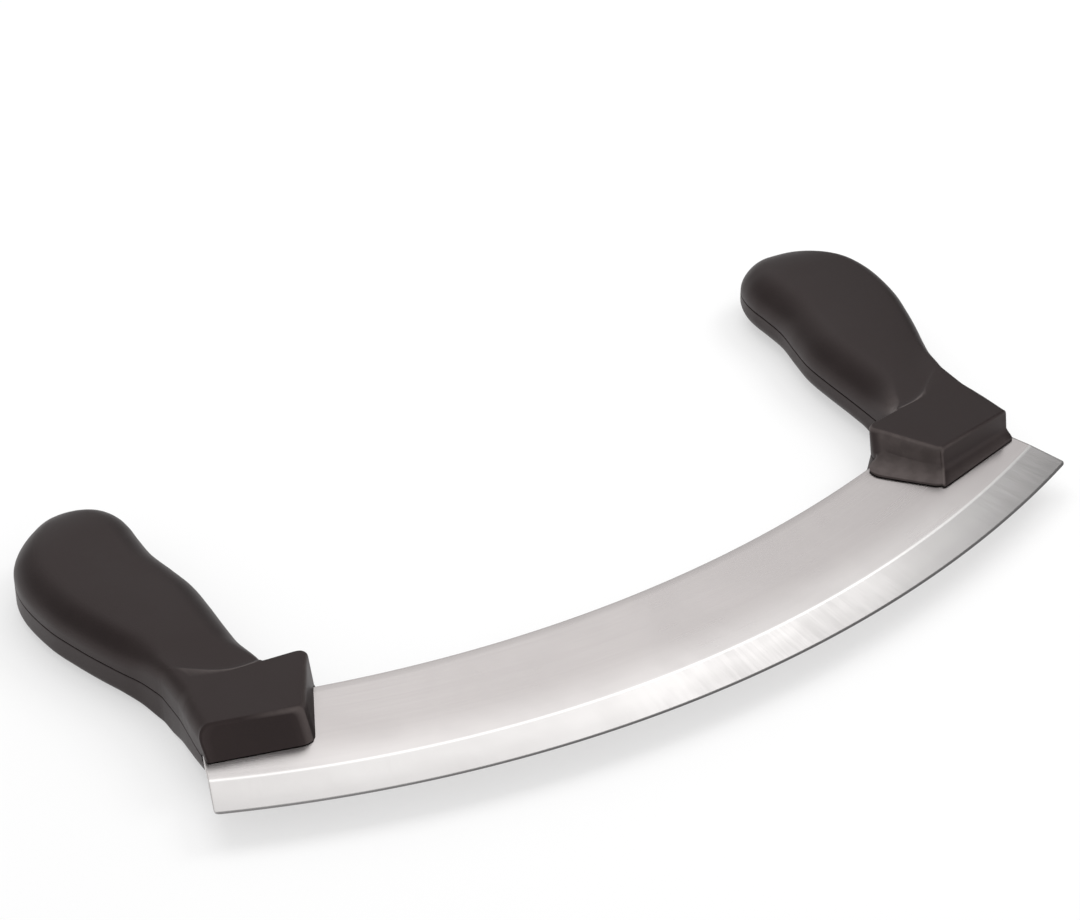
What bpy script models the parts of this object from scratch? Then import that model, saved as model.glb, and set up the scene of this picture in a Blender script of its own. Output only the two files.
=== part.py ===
"""Two-handled rocker knife: one curved, ground blade with a moulded half-shell handle at each end.

Metres, +Z up. +X runs along the blade, +Y points from the cutting edge to the handles' butts.
The knife lies flat: its origin is under the middle of the whole knife, on the surface it rests on.
"""
from collections import namedtuple
from math import asin, cos, pi, radians, sin, sqrt, tan

import bmesh
import bpy
import numpy as np
from mathutils import Matrix, Vector

MM = 0.001
SMALL = 1e-6 * MM

# Blade blank, in the plane of the blade; y = 0 is the lowest point of the cutting edge
BLADE_CHORD = 330 * MM
BLADE_THICKNESS = 2.5 * MM
BLADE_WIDTH = 53 * MM
EDGE_RADIUS = 411 * MM
SPINE_RADIUS = 406 * MM
END_CUT_ANGLE = radians(20)
TIP_ROUND = 2 * MM
EDGE_STEPS = 44
SPINE_STEPS = 33
TIP_STEPS = 3

# Ground bevel along the cutting edge, the same on both faces
BEVEL_WIDTH = 14 * MM
EDGE_THICKNESS = 0.5 * MM
GRINDING_MARGIN = 2 * MM

# Tang: the part of the blank that runs up inside each handle
TANG_ROOT_INSET = 22.5 * MM
TANG_WIDTH = 16 * MM
TANG_REACH = 92 * MM
TANG_LEAN = radians(8)
TANG_TIP_STEPS = 10

# Dowel pins through tang and webs: the front one is set from the handle's corner, the rear one
# from the tang's tip
PIN_DIAMETER = 5 * MM
PIN_LENGTH = 14 * MM
FRONT_PIN_REACH = 46 * MM
REAR_PIN_SETBACK = 12 * MM
PIN_SIDES = 24

# Clearances and the handle's walls: a web round each pin, and a rib under the tang's middle
FIT_GAP = 0.3 * MM
SHELL_WALL = 3.2 * MM
WEB_LENGTH = 11 * MM
RIB_THICKNESS = 3 * MM
CORE_START = 30 * MM
CORE_END = 120 * MM
THROUGH_CORE = 200 * MM
SMOOTH_ANGLE = radians(35)

# Handle: sizes of the bolster block that straddles the blade
CORNER_SETBACK = 21.2 * MM
BOLSTER_HEIGHT = 11.1 * MM
BOLSTER_ROUND = 1.4 * MM
LOWER_CORNER_ROUND = 6 * MM
OUTER_LEAN_LIPPED = 0.7
OUTER_LEAN_PLAIN = 1.2
LIP_THICKNESS = 0.9 * MM
LIP_FILLET = 3 * MM
CREASE_BOW = 3 * MM
CREASE_STEP = 0.8 * MM

# Handle: sizes of the grip's section
GRIP_HEIGHT = 11.1 * MM
GRIP_ROUND = 7 * MM
GRIP_ROUND_OUTER = 3.8 * MM
GRIP_ROUND_UNDER = 5.3 * MM
GRIP_ROUND_UNDER_OUTER = 2.6 * MM
GRIP_ROUND_SPREAD = 1.45
GRIP_BLEND = 25 * MM
GRIP_CROWN = 1 * MM
BUTT_ROUND = 21 * MM
BUTT_FULLNESS = 2.4
BUTT_END_HEIGHT = 2.2 * MM

# Steps of one half section: heights up a wall, turns round a top corner, places across the top
WALL_SHARES = (0.0, 0.24, 0.35, 0.5, 0.75)
STRAIGHT_SHARE = 0.1
CORNER_STEPS = 5
TOP_SHARES = (0.25, 0.5, 0.75)

# Plan of the bolster, from front face to crease, in millimetres from the point of the blade's end
# cut where the bolster starts: inner x, y and outer x, y at the blade, then how far the lip at the
# foot of the inner wall reaches out and how far the top of the inner wall leans back
BOLSTER_PLAN = (
    (-33.6, -10.9, -0.5, -3.0, 4.0, 7.1),
    (-42.4, 6.3, -1.6, 9.0, 11.5, 4.8),
    (-44.4, 10.2, -1.9, 11.4, 9.0, 4.4),
    (-45.9, 13.0, -2.2, 13.6, 0.8, 4.0),
    (-47.2, 15.4, -2.4, 15.6, 0.0, 3.4),
    (-46.3, 18.8, -2.9, 19.4, 0.0, 1.8),
    (-33.6, 22.2, -3.3, 23.4, 0.0, 0.0),
    (-33.4, 22.8, -3.4, 34.7, 0.0, 0.0),
)

# Plan of the grip, from crease to butt: inner x, y and outer x, y, measured in the same way
GRIP_PLAN = (
    (-33.2, 24.4, -3.1, 36.5),
    (-33.3, 36.4, -0.9, 44.6),
    (-33.7, 47.9, 2.5, 52.6),
    (-34.3, 60.0, 6.6, 63.0),
    (-34.4, 71.5, 9.8, 72.5),
    (-32.7, 82.0, 12.5, 82.0),
    (-30.6, 92.9, 14.0, 92.9),
    (-30.5, 102.9, 14.0, 101.8),
    (-30.8, 110.5, 12.4, 109.5),
    (-30.1, 117.0, 9.4, 115.3),
    (-27.7, 123.0, 4.8, 120.9),
    (-23.1, 127.3, -0.4, 125.6),
    (-17.0, 129.9, -6.0, 129.1),
)

Station = namedtuple(
    "Station",
    "inner_x inner_y outer_x outer_y height inner_over inner_under outer_over outer_under spread "
    "crown lip lean bow"
)


def new_collection(name):
    collection = bpy.data.collections.new(name)
    bpy.context.scene.collection.children.link(collection)
    return collection


def principled(name, colour, roughness, metallic):
    material = bpy.data.materials.new(name)
    material.use_nodes = True
    shader = material.node_tree.nodes["Principled BSDF"]
    shader.inputs["Base Color"].default_value = (*colour, 1.0)
    shader.inputs["Roughness"].default_value = roughness
    shader.inputs["Metallic"].default_value = metallic
    return material


def add_object(name, mesh, collection, frame, material=None):
    obj = bpy.data.objects.new(name, mesh)
    collection.objects.link(obj)
    obj.parent = frame
    if material:
        mesh.materials.append(material)
    return obj


def make_cutter(obj):
    obj.hide_render = True
    obj.display_type = "WIRE"
    return obj


def add_boolean(obj, other, operation):
    modifier = obj.modifiers.new(operation.lower() + "_" + other.name, "BOOLEAN")
    modifier.operation = operation
    modifier.object = other
    modifier.solver = "EXACT"


def add_cap(bm, loop):
    """Close a ring with triangles that meet at its middle."""
    middle = bm.verts.new(sum((vert.co for vert in loop), Vector()) / len(loop))
    for i, vert in enumerate(loop):
        bm.faces.new((vert, loop[(i + 1) % len(loop)], middle))


def loft(name, rings):
    """Skin a closed solid through rings of equal point count, capped at both ends."""
    mesh = bpy.data.meshes.new(name)
    bm = bmesh.new()
    loops = [[bm.verts.new(point) for point in ring] for ring in rings]
    for near, far in zip(loops, loops[1:]):
        for i in range(len(near)):
            j = (i + 1) % len(near)
            bm.faces.new((near[i], near[j], far[j], far[i]))
    add_cap(bm, loops[0])
    add_cap(bm, loops[-1])
    bmesh.ops.triangulate(bm, faces=bm.faces)
    bmesh.ops.recalc_face_normals(bm, faces=bm.faces)
    bm.to_mesh(mesh)
    bm.free()
    return mesh


def cylinder(name, radius, length):
    mesh = bpy.data.meshes.new(name)
    bm = bmesh.new()
    bmesh.ops.create_cone(
        bm, cap_ends=True, segments=PIN_SIDES, radius1=radius, radius2=radius, depth=length
    )
    bm.to_mesh(mesh)
    bm.free()
    return mesh


def smooth(mesh):
    mesh.shade_smooth()
    mesh.set_sharp_from_angle(angle=SMOOTH_ANGLE)


# Blade geometry

def edge_point(angle, grow=0.0):
    """Point of the cutting edge's arc, grow metres outside it."""
    radius = EDGE_RADIUS + grow
    return radius * sin(angle), EDGE_RADIUS - radius * cos(angle)


def spine_y(x, grow=0.0):
    """Height of the spine's arc above x, grow metres above the real spine."""
    centre = BLADE_WIDTH + SPINE_RADIUS
    radius = SPINE_RADIUS - grow
    return centre - sqrt(radius * radius - x * x)


def end_x(y, grow=0.0):
    """X of the right-hand end cut at height y, grow metres outside the cut."""
    tip_x, tip_y = edge_point(edge_half_angle())
    return tip_x - (y - tip_y) * tan(END_CUT_ANGLE) + grow / cos(END_CUT_ANGLE)


def edge_half_angle():
    return asin(BLADE_CHORD / 2 / EDGE_RADIUS)


def bolster_corner():
    """Point of the right-hand end cut where the handle starts; the handle's plan is set from it."""
    y = edge_point(edge_half_angle())[1] + CORNER_SETBACK
    return Vector((end_x(y), y, 0.0))


def tang_point(reach, across=0.0):
    """Point of the right tang: reach metres behind the corner in Y, across metres to its side."""
    corner = bolster_corner()
    x = corner.x - TANG_ROOT_INSET + reach * tan(TANG_LEAN)
    return Vector((x + across * cos(TANG_LEAN), corner.y + reach - across * sin(TANG_LEAN), 0.0))


def spine_end(grow=0.0):
    """Corner where the right-hand end cut meets the spine, closed in on by turns."""
    x = BLADE_CHORD / 2
    last_x = 0.0
    while abs(x - last_x) > SMALL:
        last_x = x
        x = end_x(spine_y(x, grow), grow)
    return x, spine_y(x, grow)


def tang_outline(grow=0.0):
    """Right tang from its outer root, round its tip, to its inner root."""
    half = TANG_WIDTH / 2 + grow
    root_reach = spine_y(tang_point(0.0).x) - bolster_corner().y
    outer = tang_point(root_reach, half)
    inner = tang_point(root_reach, -half)
    points = [(outer.x, spine_y(outer.x, grow))]
    for i in range(TANG_TIP_STEPS + 1):
        turn = pi * i / TANG_TIP_STEPS
        centre = tang_point(TANG_REACH - TANG_WIDTH / 2)
        side = Vector((cos(TANG_LEAN), -sin(TANG_LEAN), 0.0))
        ahead = Vector((sin(TANG_LEAN), cos(TANG_LEAN), 0.0))
        point = centre + half * (cos(turn) * side + sin(turn) * ahead)
        points.append((point.x, point.y))
    points.append((inner.x, spine_y(inner.x, grow)))
    return points


def tip_outline(grow=0.0):
    """Rounded right-hand tip, from the cutting edge to the end cut."""
    half_angle = edge_half_angle()
    start = Vector(edge_point(half_angle - TIP_ROUND / EDGE_RADIUS, grow))
    tip_y = edge_point(half_angle, grow)[1]
    tip = Vector((end_x(tip_y, grow), tip_y))
    end_y = tip_y + TIP_ROUND * cos(END_CUT_ANGLE)
    end = Vector((end_x(end_y, grow), end_y))
    points = []
    for i in range(TIP_STEPS + 1):
        t = i / TIP_STEPS
        point = (1 - t) ** 2 * start + 2 * t * (1 - t) * tip + t * t * end
        points.append((point.x, point.y))
    return points


def blank_outline(grow=0.0):
    """Outline of the stamped blank with both tangs, grow metres outside the real one."""
    half_angle = edge_half_angle() - TIP_ROUND / EDGE_RADIUS
    edge = []
    for i in range(1, EDGE_STEPS):
        edge.append(edge_point(half_angle * (2 * i / EDGE_STEPS - 1), grow))
    right = tip_outline(grow) + [spine_end(grow)] + tang_outline(grow)
    inner_x = right[-1][0]
    spine = []
    for i in range(1, SPINE_STEPS):
        x = inner_x - 2 * inner_x * i / SPINE_STEPS
        spine.append((x, spine_y(x, grow)))
    left = [(-x, y) for x, y in reversed(right)]
    return edge + right + spine + left


def plate_mesh(name, outline, thickness):
    """Flat plate of the given outline, centred on z = 0."""
    curve = bpy.data.curves.new(name, "CURVE")
    curve.dimensions = "2D"
    curve.fill_mode = "BOTH"
    curve.extrude = thickness / 2
    spline = curve.splines.new("POLY")
    spline.points.add(len(outline) - 1)
    for point, (x, y) in zip(spline.points, outline):
        point.co = (x, y, 0.0, 1.0)
    spline.use_cyclic_u = True
    guide = bpy.data.objects.new(name, curve)
    bpy.context.scene.collection.objects.link(guide)
    bpy.context.view_layer.update()
    evaluated = guide.evaluated_get(bpy.context.evaluated_depsgraph_get())
    mesh = bpy.data.meshes.new_from_object(evaluated)
    bpy.data.objects.remove(guide)
    bm = bmesh.new()
    bm.from_mesh(mesh)
    bmesh.ops.remove_doubles(bm, verts=bm.verts, dist=0.01 * MM)
    bmesh.ops.recalc_face_normals(bm, faces=bm.faces)
    bm.to_mesh(mesh)
    bm.free()
    return mesh


def bevel_wedge(name, face):
    """What grinding takes off one face (+1 upper, -1 lower) along the whole cutting edge.

    Its rings lie half a step off the blank's own points, so that no facet of the two coincides.
    """
    half_angle = edge_half_angle()
    step = 2 * half_angle / EDGE_STEPS
    slope = (BLADE_THICKNESS - EDGE_THICKNESS) / 2 / BEVEL_WIDTH
    inner = -BEVEL_WIDTH - GRINDING_MARGIN
    above = BLADE_THICKNESS / 2 + GRINDING_MARGIN
    rings = []
    for i in range(-2, EDGE_STEPS + 2):
        angle = step * (i + 0.5) - half_angle
        near = edge_point(angle, inner)
        far = edge_point(angle, GRINDING_MARGIN)
        rings.append([
            (*near, face * (EDGE_THICKNESS / 2 - slope * inner)),
            (*far, face * (EDGE_THICKNESS / 2 - slope * GRINDING_MARGIN)),
            (*far, face * above),
            (*near, face * above),
        ])
    return loft(name, rings)


# Handle geometry, for the right-hand handle; the left one mirrors it, apart from the lip

def bolster_station(row):
    inner_x, inner_y, outer_x, outer_y, lip, lean = (value * MM for value in row)
    from_front = max(0.0, outer_y / (BOLSTER_PLAN[-1][3] * MM))
    under = LOWER_CORNER_ROUND + (GRIP_ROUND_UNDER_OUTER - LOWER_CORNER_ROUND) * from_front
    return Station(
        inner_x, inner_y, outer_x, outer_y, BOLSTER_HEIGHT, BOLSTER_ROUND, BOLSTER_ROUND,
        BOLSTER_ROUND, under, 1.0, 0.0, lip, lean, 0.0
    )


def grip_station(row):
    inner_x, inner_y, outer_x, outer_y = (value * MM for value in row)
    middle_y = (inner_y + outer_y) / 2
    apex = GRIP_PLAN[-1][1] * MM
    into_butt = min(1.0, max(0.0, (middle_y - apex + BUTT_ROUND) / BUTT_ROUND))
    fullness = (1 - into_butt ** BUTT_FULLNESS) ** (1 / BUTT_FULLNESS)
    height = BUTT_END_HEIGHT + (GRIP_HEIGHT - BUTT_END_HEIGHT) * fullness
    crease = (BOLSTER_PLAN[-1][1] + BOLSTER_PLAN[-1][3]) / 2 * MM
    blend = min(1.0, (middle_y - crease) / GRIP_BLEND)
    blend = blend * blend * (3 - 2 * blend)
    inner_over = BOLSTER_ROUND + (GRIP_ROUND - BOLSTER_ROUND) * blend
    inner_under = BOLSTER_ROUND + (GRIP_ROUND_UNDER - BOLSTER_ROUND) * blend
    outer_over = BOLSTER_ROUND + (GRIP_ROUND_OUTER - BOLSTER_ROUND) * blend
    spread = 1 + (GRIP_ROUND_SPREAD - 1) * blend
    crown = GRIP_CROWN * blend * height / GRIP_HEIGHT
    return Station(
        inner_x, inner_y, outer_x, outer_y, height, inner_over, inner_under, outer_over,
        GRIP_ROUND_UNDER_OUTER, spread, crown, 0.0, 0.0, 0.0
    )


def catmull(before, start, end, after, t):
    """Point at t between start and end on a smooth curve through the four stations."""
    a, b, c, d = (np.array(station) for station in (before, start, end, after))
    return Station(*(
        b + 0.5 * t * (c - a + t * (2 * a - 5 * b + 4 * c - d + t * (3 * (b - c) + d - a)))
    ))


def handle_stations(grip_steps=2):
    """All stations from the bolster's front face to the butt."""
    front = bolster_station(BOLSTER_PLAN[0])
    chamfer = BOLSTER_ROUND / 2
    face = front._replace(
        inner_x=front.inner_x + chamfer, outer_x=front.outer_x - chamfer,
        height=front.height - chamfer
    )
    edge = front._replace(inner_y=front.inner_y + chamfer, outer_y=front.outer_y + chamfer)
    stations = [face, edge] + [bolster_station(row) for row in BOLSTER_PLAN[1:]]
    stations[-1] = stations[-1]._replace(bow=CREASE_BOW)
    grip = [grip_station(row) for row in GRIP_PLAN]
    grip[0] = grip[0]._replace(height=GRIP_HEIGHT - CREASE_STEP, bow=CREASE_BOW)
    grip[1] = grip[1]._replace(height=GRIP_HEIGHT - CREASE_STEP / 2, bow=CREASE_BOW / 2)
    padded = [grip[0]] + grip + [grip[-1]]
    for i in range(len(grip) - 1):
        for k in range(grip_steps):
            station = catmull(*padded[i:i + 4], k / grip_steps)
            stations.append(station._replace(height=min(station.height, GRIP_HEIGHT)))
    stations.append(grip[-1])
    return stations


def wall_profile(top_round, spread, top, floor, width):
    """One wall from floor to top and round its top corner, as distance in from the foot and z."""
    room = (1 - STRAIGHT_SHARE) * min(top - floor, width / 2 / spread)
    top_round = min(top_round, room)
    wall_top = top - top_round
    points = [(0.0, floor + (wall_top - floor) * share) for share in WALL_SHARES]
    for i in range(CORNER_STEPS + 1):
        turn = pi / 2 * i / CORNER_STEPS
        points.append((spread * top_round * (1 - cos(turn)), wall_top + top_round * sin(turn)))
    return points


def lip_reach(station, side, face, z):
    """How far the lip at the inner wall's foot stands out at height z.

    One moulding serves both ends, turned over, so only two of the four halves have the lip: the right
    handle's upper one and the left handle's lower one.
    """
    if side * face < 0:
        return 0.0
    above_lip = z - BLADE_THICKNESS / 2 - FIT_GAP - LIP_THICKNESS
    return station.lip * max(0.0, 1 - max(0.0, above_lip) / LIP_FILLET) ** 2


def half_section(station, side, face, floor, inset=0.0):
    """Ring of one half shell at a station: up the inner wall, over the top, down the outer wall.

    side is -1 for the left handle, face is -1 for the lower half, floor is the height of the mating
    face, and inset moves the whole section inwards, for the core inside a wall.
    """
    inner = Vector((station.inner_x, station.inner_y))
    outer = Vector((station.outer_x, station.outer_y))
    across = (outer - inner).normalized()
    width = (outer - inner).length - 2 * inset
    inner = inner + across * inset
    top = station.height - inset - station.crown
    inner_round = station.inner_over if face > 0 else station.inner_under
    outer_round = station.outer_over if face > 0 else station.outer_under
    outer_lean = OUTER_LEAN_LIPPED if side * face > 0 else OUTER_LEAN_PLAIN
    inner_wall = wall_profile(inner_round, station.spread, top, floor, width)
    outer_wall = wall_profile(outer_round, station.spread, top, floor, width)
    top_start = inner_wall[-1][0]
    top_width = width - outer_wall[-1][0] - top_start
    profile = inner_wall + [(top_start + top_width * share, top) for share in TOP_SHARES]
    profile += [(width - u, z) for u, z in reversed(outer_wall)]
    corner = bolster_corner()
    ring = []
    for u, z in profile:
        share = u / width
        rise = max(0.0, z - floor) / (top - floor)
        lip = lip_reach(station, side, face, z) * (1 - share)
        point = inner + across * (u - lip)
        lean = station.lean * (1 - share * (1 - outer_lean))
        y = point.y + lean * rise - station.bow * 4 * share * (1 - share)
        z = z + station.crown * 4 * share * (1 - share) * rise
        ring.append((side * (corner.x + point.x), corner.y + y, face * z))
    return ring


def shell_mesh(name, side, face):
    mesh = loft(name, [half_section(item, side, face, FIT_GAP / 2) for item in handle_stations()])
    smooth(mesh)
    return mesh


def core_mesh(name, side, face):
    """The hollow inside one half shell, a wall away from its outside."""
    rings = []
    for station in handle_stations(grip_steps=1):
        middle = (station.inner_y + station.outer_y) / 2
        if CORE_START <= middle <= CORE_END:
            flat = station._replace(bow=0.0)
            rings.append(half_section(flat, side, face, -FIT_GAP, SHELL_WALL))
    return loft(name, rings)


def block_mesh(name, size_x, size_y):
    """Block that keeps plastic standing where it crosses the core."""
    mesh = bpy.data.meshes.new(name)
    bm = bmesh.new()
    size = (size_x, size_y, THROUGH_CORE, 1.0)
    bmesh.ops.create_cube(bm, size=1.0, matrix=Matrix.Diagonal(size))
    bm.to_mesh(mesh)
    bm.free()
    return mesh


def build():
    for obj in list(bpy.data.objects):
        bpy.data.objects.remove(obj)
    knife = new_collection("rocker_knife")
    cutters = new_collection("cutters")
    steel = principled("blade_steel", (0.72, 0.70, 0.68), 0.28, 1.0)
    plastic = principled("handle_plastic", (0.035, 0.030, 0.028), 0.5, 0.0)
    pin_steel = principled("pin_steel", (0.6, 0.6, 0.62), 0.35, 1.0)

    depth = bolster_corner().y + GRIP_PLAN[-1][1] * MM
    frame = bpy.data.objects.new("knife_frame", None)
    frame.location = (0.0, -depth / 2, max(BOLSTER_HEIGHT, GRIP_HEIGHT))
    knife.objects.link(frame)

    blade = add_object(
        "blade", plate_mesh("blade", blank_outline(), BLADE_THICKNESS), knife, frame, steel
    )
    for face, label in ((1, "upper"), (-1, "lower")):
        name = "bevel_wedge_" + label
        wedge = make_cutter(add_object(name, bevel_wedge(name, face), cutters, frame))
        add_boolean(blade, wedge, "DIFFERENCE")

    recess_mesh = plate_mesh("blade_recess", blank_outline(FIT_GAP), BLADE_THICKNESS + 2 * FIT_GAP)
    recess = make_cutter(add_object("blade_recess", recess_mesh, cutters, frame))

    pin_reaches = {"front": FRONT_PIN_REACH, "rear": TANG_REACH - REAR_PIN_SETBACK}
    for side, hand in ((-1, "left"), (1, "right")):
        holes = []
        name = hand + "_rib"
        rib_mesh = block_mesh(name, RIB_THICKNESS, THROUGH_CORE)
        rib = make_cutter(add_object(name, rib_mesh, cutters, frame))
        rib.location = tang_point(FRONT_PIN_REACH)
        rib.location.x *= side
        rib.rotation_euler.z = -side * TANG_LEAN
        kept = [rib]
        for label, reach in pin_reaches.items():
            place = tang_point(reach)
            place.x *= side
            name = hand + "_" + label
            pin_mesh = cylinder(name + "_pin", PIN_DIAMETER / 2, PIN_LENGTH)
            smooth(pin_mesh)
            add_object(name + "_pin", pin_mesh, knife, frame, pin_steel).location = place
            hole_mesh = cylinder(
                name + "_hole", PIN_DIAMETER / 2 + FIT_GAP, PIN_LENGTH + 2 * FIT_GAP
            )
            hole = make_cutter(add_object(name + "_hole", hole_mesh, cutters, frame))
            hole.location = place
            holes.append(hole)
            web_mesh = block_mesh(name + "_web", THROUGH_CORE, WEB_LENGTH)
            web = make_cutter(add_object(name + "_web", web_mesh, cutters, frame))
            web.location = place
            kept.append(web)
            add_boolean(blade, hole, "DIFFERENCE")
        for face, label in ((1, "upper"), (-1, "lower")):
            name = hand + "_handle_" + label
            core = make_cutter(
                add_object(name + "_core", core_mesh(name + "_core", side, face), cutters, frame)
            )
            for block in kept:
                add_boolean(core, block, "DIFFERENCE")
            shell = add_object(name, shell_mesh(name, side, face), knife, frame, plastic)
            for cutter in holes + [recess, core]:
                add_boolean(shell, cutter, "DIFFERENCE")


build()
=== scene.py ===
from itertools import pairwise
from math import asin, cos, pi, radians, sin, sqrt, tan

import bmesh
import bpy
import numpy as np
from mathutils import Matrix, Vector


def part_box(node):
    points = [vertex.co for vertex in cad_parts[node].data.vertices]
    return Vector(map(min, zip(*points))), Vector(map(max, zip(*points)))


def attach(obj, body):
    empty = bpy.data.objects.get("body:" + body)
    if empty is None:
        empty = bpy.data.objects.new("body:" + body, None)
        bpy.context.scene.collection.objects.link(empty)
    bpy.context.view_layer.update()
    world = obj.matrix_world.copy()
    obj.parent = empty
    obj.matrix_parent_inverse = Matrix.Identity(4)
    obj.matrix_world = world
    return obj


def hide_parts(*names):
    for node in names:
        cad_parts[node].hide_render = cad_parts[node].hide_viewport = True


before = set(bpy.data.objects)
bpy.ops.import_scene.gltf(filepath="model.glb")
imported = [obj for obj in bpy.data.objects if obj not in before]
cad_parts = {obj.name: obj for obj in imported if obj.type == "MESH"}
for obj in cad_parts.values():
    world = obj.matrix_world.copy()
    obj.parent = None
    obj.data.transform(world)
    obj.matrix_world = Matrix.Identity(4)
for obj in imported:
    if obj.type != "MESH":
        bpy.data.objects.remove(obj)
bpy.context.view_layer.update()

# Blade: one stainless plate, stamped as a long crescent with a tang at each end. Its faces are belted
# lengthwise to a satin, and a long bevel is ground across its outer curve and buffed. The tangs run up
# inside the handles, and two dowel pins go through each of them.

# Lengths are in metres
BLADE_LOW, BLADE_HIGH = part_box("blade")
BLADE_LEVEL = (BLADE_LOW.z + BLADE_HIGH.z) / 2
BLADE_HALF = (BLADE_HIGH.z - BLADE_LOW.z) / 2
BLADE_CHORD = 0.330
BLADE_WIDTH = 0.053
EDGE_RADIUS = 0.411
SPINE_RADIUS = 0.406
END_CUT_ANGLE = radians(20)
TIP_ROUND = 0.002
BEVEL_WIDTH = 0.014
BEVEL_FOOT = 0.00031
CUTTING_BEVEL_WIDTH = 0.0008
CUTTING_EDGE_HALF = 0.00005
RIDGE_ROUND = 0.0009
BROKEN_EDGE = 0.0003
BROKEN_LIMIT = 0.7
BLADE_COLUMNS = 180
TIP_STEPS = (0.0, 0.2, 0.4, 0.6, 0.75, 0.88, 1.0)
SPINE_ROUNDS = 20
TANG_WIDTH = 0.016
TANG_PAST_PIN = 0.012
TANG_ROOT_DEPTH = 0.010
TANG_TIP_STEPS = 24
TANG_SHY = 0.00002
FIT_GAP = 0.0003
HOLE_LENGTH = 0.02
ROD_SIDES = 48
SHARP_ANGLE = radians(40)

EDGE_CENTRE = Vector((0.0, BLADE_LOW.y + EDGE_RADIUS))
SPINE_CENTRE = Vector((0.0, BLADE_LOW.y + BLADE_WIDTH + SPINE_RADIUS))
TIP_ANGLE = asin(BLADE_CHORD / 2 / EDGE_RADIUS)

# Lines along the blade: their distances from the cutting edge as far as just past the bevel's ridge,
# then shares of the flat beyond it, then distances from the spine
GRIND_LINES = np.concatenate((
    (0.0, 0.0004, 0.0008, 0.00095), np.linspace(0.002, 0.0125, 8), np.linspace(0.0129, 0.0151, 10)
))
FLAT_SHARES = np.linspace(0.0, 1.0, 13)[1:]
SPINE_LINES = (0.00015, 0.00005, 0.0)


def edge_point(angle):
    """Point of the cutting edge at an angle from the middle of the blade."""
    return EDGE_CENTRE + EDGE_RADIUS * Vector((sin(angle), -cos(angle)))


def spine_y(x):
    return SPINE_CENTRE.y - sqrt(SPINE_RADIUS ** 2 - x * x)


def end_x(y, inside=0.0):
    """X of the right-hand end cut at height y, or of a line parallel to it, inside it."""
    tip = edge_point(TIP_ANGLE)
    return tip.x - (y - tip.y) * tan(END_CUT_ANGLE) - inside / cos(END_CUT_ANGLE)


def inside_end(point):
    """How far a point lies inside the nearer end cut."""
    return (end_x(point.y) - abs(point.x)) * cos(END_CUT_ANGLE)


def spine_point(inside):
    """Where a line inside the right-hand end cut meets the spine."""
    x = BLADE_CHORD / 2
    for _ in range(SPINE_ROUNDS):
        x = end_x(spine_y(x), inside)
    return Vector((x, spine_y(x)))


def blade_columns():
    """Foot and top of each line across the blade, from the left end to the right one."""
    start = edge_point(TIP_ANGLE - TIP_ROUND / EDGE_RADIUS)
    corner = edge_point(TIP_ANGLE)
    end_y = corner.y + TIP_ROUND * cos(END_CUT_ANGLE)
    end = Vector((end_x(end_y), end_y))
    right = []
    for t in TIP_STEPS:
        foot = (1 - t) ** 2 * start + 2 * t * (1 - t) * corner + t * t * end
        right.append((foot, spine_point(inside_end(foot))))
    last_angle = TIP_ANGLE - TIP_ROUND / EDGE_RADIUS
    last_x = right[0][1].x
    middle = []
    for i in range(1, BLADE_COLUMNS):
        along = 2 * i / BLADE_COLUMNS - 1
        x = last_x * along
        middle.append((edge_point(last_angle * along), Vector((x, spine_y(x)))))
    left = [(Vector((-a.x, a.y)), Vector((-b.x, b.y))) for a, b in reversed(right)]
    return left + middle + right


def from_edge(point):
    """How far in from the cutting edge's circle a point lies."""
    return EDGE_RADIUS - (point - EDGE_CENTRE).length


def half_thickness(point, to_spine):
    """Half the blade's thickness, with its bevels, its rounded ridge and its broken outline."""
    depth = from_edge(point)
    if depth < CUTTING_BEVEL_WIDTH:
        rise = (BEVEL_FOOT - CUTTING_EDGE_HALF) / CUTTING_BEVEL_WIDTH
        ground = CUTTING_EDGE_HALF + rise * max(depth, 0.0)
    else:
        slope = (BLADE_HALF - BEVEL_FOOT) / (BEVEL_WIDTH - CUTTING_BEVEL_WIDTH)
        ground = BEVEL_FOOT + slope * (depth - CUTTING_BEVEL_WIDTH)
        soft = slope * RIDGE_ROUND
        share = min(1.0, max(0.0, 0.5 + (BLADE_HALF - ground) / (2 * soft)))
        ground = BLADE_HALF * (1 - share) + ground * share - soft * share * (1 - share)
    dropped = 0.0
    for gap in (to_spine, inside_end(point)):
        short = max(0.0, BROKEN_EDGE - gap)
        dropped += BROKEN_EDGE - sqrt(max(0.0, BROKEN_EDGE ** 2 - short ** 2))
    return ground * (1 - min(BROKEN_LIMIT, dropped / BLADE_HALF))


def blade_line(foot, top):
    """Points of one line across the blade, each with its half thickness."""
    way = top - foot
    length = way.length
    way = way / length
    offset = foot - EDGE_CENTRE
    foot_depth = from_edge(foot)
    places = []
    for line in GRIND_LINES:
        depth = foot_depth + line * (1 - foot_depth / GRIND_LINES[-1])
        b = way.dot(offset)
        c = offset.length_squared - (EDGE_RADIUS - depth) ** 2
        places.append(-b - sqrt(max(0.0, b * b - c)))
    first, last = places[-1], length - BROKEN_EDGE
    places += [first + (last - first) * share for share in FLAT_SHARES]
    places += [length - gap for gap in SPINE_LINES]
    points = [foot + way * place for place in places]
    return [(p, half_thickness(p, length - place)) for p, place in zip(points, places)]


def add_object(name, data):
    piece = bpy.data.objects.new(name, data)
    bpy.context.scene.collection.objects.link(piece)
    return piece


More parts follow.
